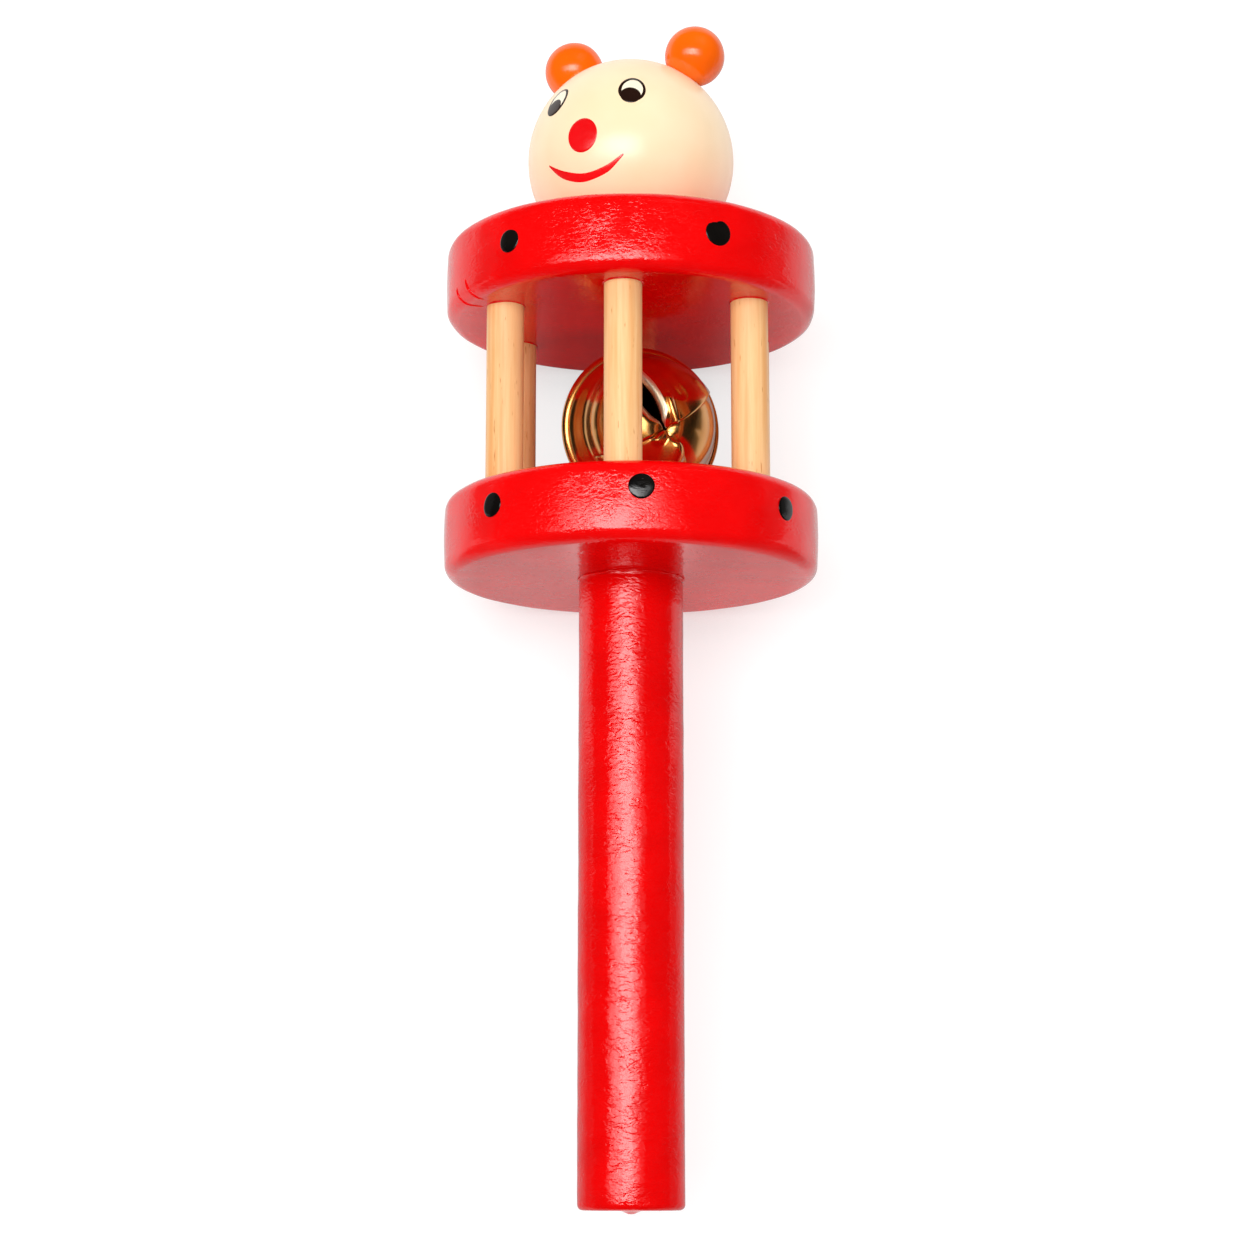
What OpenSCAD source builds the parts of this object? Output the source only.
// Wooden cage rattle, lying on the rims of its two discs as it is put down on a table.
// A dowel handle carries the lower disc. Six pillars join it to the upper disc, and a ball head
// with two ball ears sits on top. A loose jingle bell with a steel pellet rolls in the cage.
// The toy's axis lies along +Y with the head at +Y, and the front of the cage looks up, along +Z.

/* [Handle] */
// Diameter of the dowel that forms the handle
handle_d = 16; // [12:0.5:24]
// Length of the handle below the lower disc
handle_len = 95; // [60:1:140]
// Rounding of the handle's free end
handle_edge_r = 0.8; // [0.3:0.1:3]
// Diameter of the tenon turned on the handle's top
tenon_d = 10; // [6:0.5:11.5]
// Length of the tenon inside the lower disc
tenon_len = 8; // [4:0.5:9.5]

/* [Discs] */
// Diameter of both discs
disc_d = 57.5; // [53:0.5:75]
// Thickness of both discs
disc_t = 12.2; // [10.5:0.1:20]
// Rounding of the discs' rims
disc_edge_r = 2.1; // [0.5:0.1:4]

/* [Cage] */
// Clear height between the discs
cage_h = 28.5; // [26.5:0.5:50]
// Diameter of the pillars
pillar_d = 5.7; // [4:0.1:7.5]
// Distance from a disc's rim to the middle of a pillar
pillar_inset = 7.25; // [5.75:0.25:8.5]
// Depth of the blind hole that holds a pillar's end
pillar_seat = 6; // [3:0.5:9]
// Turn of the first pillar away from the front
pillar_turn = -3.2; // [-10:0.2:10]
// Glue line round every dowel and peg, on the radius
glue_gap = 0.05; // [0.02:0.01:0.15]

/* [Head] */
// Diameter of the ball head
head_d = 32.4; // [28:0.2:40]
// Diameter of the flat that the head sits on
head_flat_d = 14.8; // [11:0.2:22]
// Diameter of the dowel between the head and the upper disc
head_dowel_d = 6; // [4:0.5:9]
// Depth of that dowel in the head
head_dowel_in_head = 7; // [4:0.5:10]
// Depth of that dowel in the upper disc
head_dowel_in_disc = 6; // [3:0.5:9]
// Turn of the ears and the face away from the front
face_turn = -24; // [-60:0.5:60]

/* [Ears] */
// Diameter of a ball ear
ear_d = 9.4; // [7:0.1:12]
// Diameter of the flats where an ear meets the head
ear_flat_d = 6.2; // [4.6:0.1:6.8]
// Lean of the left ear away from the toy's axis
ear_left_lean = 30.5; // [28:0.5:50]
// Lean of the right ear away from the toy's axis
ear_right_lean = 34.5; // [28:0.5:50]
// Diameter of the peg inside an ear
ear_peg_d = 2.5; // [1.5:0.1:3.5]
// Depth of the peg in the head
ear_peg_in_head = 5; // [3:0.5:8]
// Depth of the peg in the ear
ear_peg_in_ear = 4; // [2:0.5:4.5]

/* [Bell] */
// Diameter of the bell's two domes
bell_d = 24.2; // [20:0.2:24.8]
// Thickness of the pressed sheet
bell_sheet = 0.5; // [0.35:0.05:0.7]
// Width of the petal half's flange outside its dome
bell_flange_w = 0.35; // [0.25:0.05:0.6]
// Width of each slot at its middle
slot_w = 3; // [1.8:0.1:3.8]
// Distance from the bell's pole to the inner tip of a slot
slot_start = 0.9; // [0.6:0.1:2]
// Angle from the pole at which a slot ends
slot_reach = 70; // [55:1:74]
// Width of the cuts that part the petals' tips at the pole
tip_cut_w = 0.35; // [0.2:0.05:0.6]
// Depth of the lips turned in along the slots
lip_depth = 1.7; // [1:0.1:2.4]
// Diameter of the flat on the crown that carries the loop
crown_flat_d = 6.8; // [6.4:0.1:9]
// Diameter of the loop's wire
loop_wire_d = 1.2; // [0.8:0.1:1.5]
// Diameter of the loop along the middle of its wire
loop_d = 3.8; // [3.2:0.1:4.2]
// Length of the loop's straight legs outside the crown
loop_leg = 0.8; // [0.3:0.1:2]
// Diameter of the clinched feet inside the crown
loop_foot_d = 1.7; // [1.6:0.1:2]
// Thickness of the clinched feet
loop_foot_t = 0.4; // [0.2:0.1:0.7]
// Diameter of the loose pellet in the bell
pellet_d = 5; // [4.2:0.1:6]

/* [Place of the bell] */
// Lean of the bell's petal side away from upright
bell_lean = 19; // [15:1:35]
// Direction of that lean, from +X towards +Y
bell_lean_to = -22.5; // [-60:0.5:0]
// Turn of the slots about the bell's own axis
bell_spin = 31; // [0:1:89]
// Turn of the loop about the bell's own axis
loop_turn = 90; // [75:1:105]
// Sideways place of the bell in the cage
bell_x = 1.5; // [-1:0.1:2]
// Room between the bell's rim and the lower disc
bell_side_gap = 0.3; // [0.3:0.1:1.5]
// Least room between loose and fixed pieces
rattle_gap = 0.3; // [0.2:0.05:0.5]

/* [Hidden] */
$fn = 96;

pillar_count = 6;
rear_pillar = 4;
slot_count = 4;
tenon_end_gap = 0.5;
cut_past = 1;

red_paint = "#dd0a0c";
cream_paint = "#fbe0b4";
orange_paint = "#f77a10";
pale_wood = "#f2cf93";
gold_plate = "#d9a441";
steel_grey = "#a9abb0";

// Circle that the pillars stand on
pillar_circle_r = disc_d / 2 - pillar_inset;

// Heights along the toy's axis, from the lower disc's handle side
upper_z = disc_t + cage_h;
head_r = head_d / 2;
head_z = upper_z + disc_t + sqrt(pow(head_r, 2) - pow(head_flat_d / 2, 2));

// Ears: the two flats meet face to face at this distance from the head's centre
ear_r = ear_d / 2;
ear_seat = sqrt(pow(head_r, 2) - pow(ear_flat_d / 2, 2));
ear_out = ear_seat + sqrt(pow(ear_r, 2) - pow(ear_flat_d / 2, 2));

// Middle of the whole length, which is the origin
high_lean = min(ear_left_lean, ear_right_lean);
top_z = max(head_z + head_r, head_z + ear_out * cos(high_lean) + ear_r);
middle_z = (top_z - handle_len) / 2;

// Bell
bell_r = bell_d / 2;
bell_inner_r = bell_r - bell_sheet;
flange_r = bell_r + bell_flange_w;
rim_r = flange_r + bell_sheet;
crown_h = sqrt(pow(bell_r, 2) - pow(crown_flat_d / 2, 2));
slot_end = bell_r * sin(slot_reach);
slot_mid = (slot_start + slot_end) / 2;
slot_half_len = (slot_end - slot_start) / 2;
slot_arc_r = (pow(slot_half_len, 2) + pow(slot_w / 2, 2)) / slot_w;

// The bell lies on the rear pillar, with its rim beside the lower disc
pole_y = sin(bell_lean) * sin(bell_lean_to);
bell_half_y = rim_r * sqrt(1 - pow(pole_y, 2)) + 2 * bell_sheet * abs(pole_y);
bell_along = disc_t + bell_side_gap + bell_half_y;
rear_angle = pillar_turn + (rear_pillar - 1) * 360 / pillar_count;
rear_x = pillar_circle_r * sin(rear_angle);
rear_up = pillar_circle_r * cos(rear_angle);
bell_up = rear_up + sqrt(pow(bell_r + pillar_d / 2 + rattle_gap, 2) - pow(bell_x - rear_x, 2));
pellet_drop = bell_inner_r - pellet_d / 2 - rattle_gap;

// Lays an upright piece down: its +Z becomes +Y and its front, -Y, becomes +Z
module lay() {
    translate([0, -middle_z, disc_d / 2]) rotate([-90, 0, 0]) children();
}

// Puts a piece of the bell, drawn with its petals at +Z, where the bell lies
module in_bell() {
    translate([bell_x, bell_along - middle_z, disc_d / 2 + bell_up])
        rotate([0, 0, bell_lean_to])
            rotate([0, bell_lean, 0])
                rotate([0, 0, -bell_lean_to])
                    children();
}

// Turns a piece to a pillar's place round the cage, counted from the front
module at_pillar(number) {
    turn = pillar_turn + (number - 1) * 360 / pillar_count;
    rotate([0, 0, turn - 90]) translate([pillar_circle_r, 0, 0]) children();
}

// Points +Z from the head's centre out through an ear; side is 1 on the right and -1 on the left
module at_ear(side) {
    lean = side > 0 ? ear_right_lean : -ear_left_lean;
    translate([0, 0, head_z]) rotate([0, 0, face_turn]) rotate([0, lean, 0]) children();
}

// Everything beyond a height, as a cutting block wide enough for the whole toy
module beyond(height) {
    translate([-disc_d, -disc_d, height]) cube(2 * disc_d);
}

// Hole for a dowel, with the glue line on its radius
module dowel_hole(d, depth) {
    cylinder(h = depth, r = d / 2 + glue_gap);
}

// Half section of a disc with both rims rounded
module disc_section() {
    disc_r = disc_d / 2;
    flat_r = disc_r - disc_edge_r;
    square([flat_r, disc_t]);
    translate([0, disc_edge_r]) square([disc_r, disc_t - 2 * disc_edge_r]);
    translate([flat_r, disc_edge_r]) circle(disc_edge_r);
    translate([flat_r, disc_t - disc_edge_r]) circle(disc_edge_r);
}

module handle() {
    handle_r = handle_d / 2;
    flat_r = handle_r - handle_edge_r;
    color(red_paint) lay() {
        rotate_extrude() {
            translate([0, -handle_len]) square([flat_r, handle_len]);
            translate([0, handle_edge_r - handle_len]) square([handle_r, handle_len - handle_edge_r]);
            translate([flat_r, handle_edge_r - handle_len]) circle(handle_edge_r);
            square([tenon_d / 2, tenon_len]);
        }
    }
}

module lower_disc() {
    color(red_paint) lay() difference() {
        rotate_extrude() disc_section();
        translate([0, 0, -cut_past]) dowel_hole(tenon_d, tenon_len + tenon_end_gap + cut_past);
        for (number = [1:pillar_count])
            at_pillar(number) translate([0, 0, disc_t - pillar_seat])
                dowel_hole(pillar_d, pillar_seat + cut_past);
    }
}

module upper_disc() {
    color(red_paint) lay() translate([0, 0, upper_z]) difference() {
        rotate_extrude() disc_section();
        translate([0, 0, disc_t - head_dowel_in_disc])
            dowel_hole(head_dowel_d, head_dowel_in_disc + cut_past);
        for (number = [1:pillar_count])
            at_pillar(number) translate([0, 0, -cut_past])
                dowel_hole(pillar_d, pillar_seat + cut_past);
    }
}

module pillar(number) {
    color(pale_wood) lay() at_pillar(number) translate([0, 0, disc_t - pillar_seat])
        cylinder(h = cage_h + 2 * pillar_seat, d = pillar_d);
}

module head() {
    color(cream_paint) lay() difference() {
        translate([0, 0, head_z]) sphere(head_r);
        mirror([0, 0, 1]) beyond(-upper_z - disc_t);
        translate([0, 0, upper_z + disc_t - cut_past])
            dowel_hole(head_dowel_d, head_dowel_in_head + cut_past);
        for (side = [-1, 1]) at_ear(side) {
            beyond(ear_seat);
            translate([0, 0, ear_seat - ear_peg_in_head])
                dowel_hole(ear_peg_d, ear_peg_in_head + cut_past);
        }
    }
}

module head_dowel() {
    color(pale_wood) lay() translate([0, 0, upper_z + disc_t - head_dowel_in_disc])
        cylinder(h = head_dowel_in_disc + head_dowel_in_head, d = head_dowel_d);
}

module ear(side) {
    color(orange_paint) lay() at_ear(side) difference() {
        translate([0, 0, ear_out]) sphere(ear_r);
        mirror([0, 0, 1]) beyond(-ear_seat);
        translate([0, 0, ear_seat - cut_past]) dowel_hole(ear_peg_d, ear_peg_in_ear + cut_past);
    }
}

module ear_peg(side) {
    color(pale_wood) lay() at_ear(side) translate([0, 0, ear_seat - ear_peg_in_head])
        cylinder(h = ear_peg_in_head + ear_peg_in_ear, d = ear_peg_d);
}

// Column with the outline of one slot seen along the bell's axis, grown all round by a wall
module slot_column(wall) {
    intersection_for(side = [-1, 1])
        translate([slot_mid, side * (slot_arc_r - slot_w / 2), 0])
            cylinder(h = 2 * bell_r, r = slot_arc_r + wall);
}

// Repeats a slot's shape round the pole
module each_slot() {
    for (number = [1:slot_count])
        rotate([0, 0, bell_spin + number * 360 / slot_count]) children();
}

// Crown half: a pressed dome with a flat for the loop, its edge rolled over the petal half's flange
module bell_crown() {
    roll_r = bell_sheet;
    color(gold_plate) in_bell() difference() {
        rotate_extrude() difference() {
            union() {
                intersection() {
                    circle(bell_r);
                    translate([0, -crown_h]) square([bell_r, crown_h]);
                }
                translate([bell_inner_r, -bell_sheet]) square([rim_r - roll_r - bell_inner_r, 3 * bell_sheet]);
                translate([bell_r, 0]) square([rim_r - bell_r, bell_sheet]);
                translate([rim_r - roll_r, 0]) circle(roll_r);
                translate([rim_r - roll_r, bell_sheet]) circle(roll_r);
            }
            intersection() {
                circle(bell_inner_r);
                translate([0, bell_sheet - crown_h]) square([bell_inner_r, crown_h]);
            }
            square([flange_r, bell_sheet]);
            translate([0, bell_sheet]) square([bell_r + glue_gap, 2 * bell_sheet]);
        }
        rotate([0, 0, loop_turn]) for (side = [-1, 1])
            translate([side * loop_d / 2, 0, -crown_h - cut_past])
                dowel_hole(loop_wire_d, bell_sheet + 2 * cut_past);
    }
}

// Petal half: a flanged dome with leaf-shaped slots whose lips turn in, cut through at the pole
module bell_petals() {
    color(gold_plate) in_bell() difference() {
        union() {
            rotate_extrude() {
                difference() {
                    intersection() {
                        circle(bell_r);
                        square(bell_r);
                    }
                    circle(bell_inner_r);
                }
                translate([bell_r - bell_sheet / 2, 0]) square([flange_r - bell_r + bell_sheet / 2, bell_sheet]);
            }
            intersection() {
                difference() {
                    sphere(bell_r - bell_sheet / 2);
                    sphere(bell_r - lip_depth);
                }
                each_slot() slot_column(bell_sheet);
            }
        }
        each_slot() {
            slot_column(0);
            translate([0, -tip_cut_w / 2, 0]) cube([2 * slot_start, tip_cut_w, 2 * bell_r]);
        }
    }
}

// Wire loop: two legs through the crown's flat, clinched inside, and a half ring outside
module bell_loop() {
    color(gold_plate) in_bell() rotate([0, 0, loop_turn]) {
        for (side = [-1, 1]) translate([side * loop_d / 2, 0, 0]) {
            translate([0, 0, -crown_h - loop_leg]) cylinder(h = loop_leg + bell_sheet, d = loop_wire_d);
            translate([0, 0, bell_sheet - crown_h]) cylinder(h = loop_foot_t, d = loop_foot_d);
        }
        translate([0, 0, -crown_h - loop_leg]) rotate([-90, 0, 0]) rotate_extrude(angle = 180)
            translate([loop_d / 2, 0]) circle(d = loop_wire_d);
    }
}

module bell_pellet() {
    color(steel_grey) translate([bell_x, bell_along - middle_z, disc_d / 2 + bell_up - pellet_drop])
        sphere(d = pellet_d);
}

handle();
lower_disc();
upper_disc();
pillar(1);  // pillar_1
pillar(2);  // pillar_2
pillar(3);  // pillar_3
pillar(4);  // pillar_4
pillar(5);  // pillar_5
pillar(6);  // pillar_6
head();
head_dowel();
ear(-1);  // ear_left
ear(1);  // ear_right
ear_peg(-1);  // ear_peg_left
ear_peg(1);  // ear_peg_right
bell_crown();
bell_petals();
bell_loop();
bell_pellet();
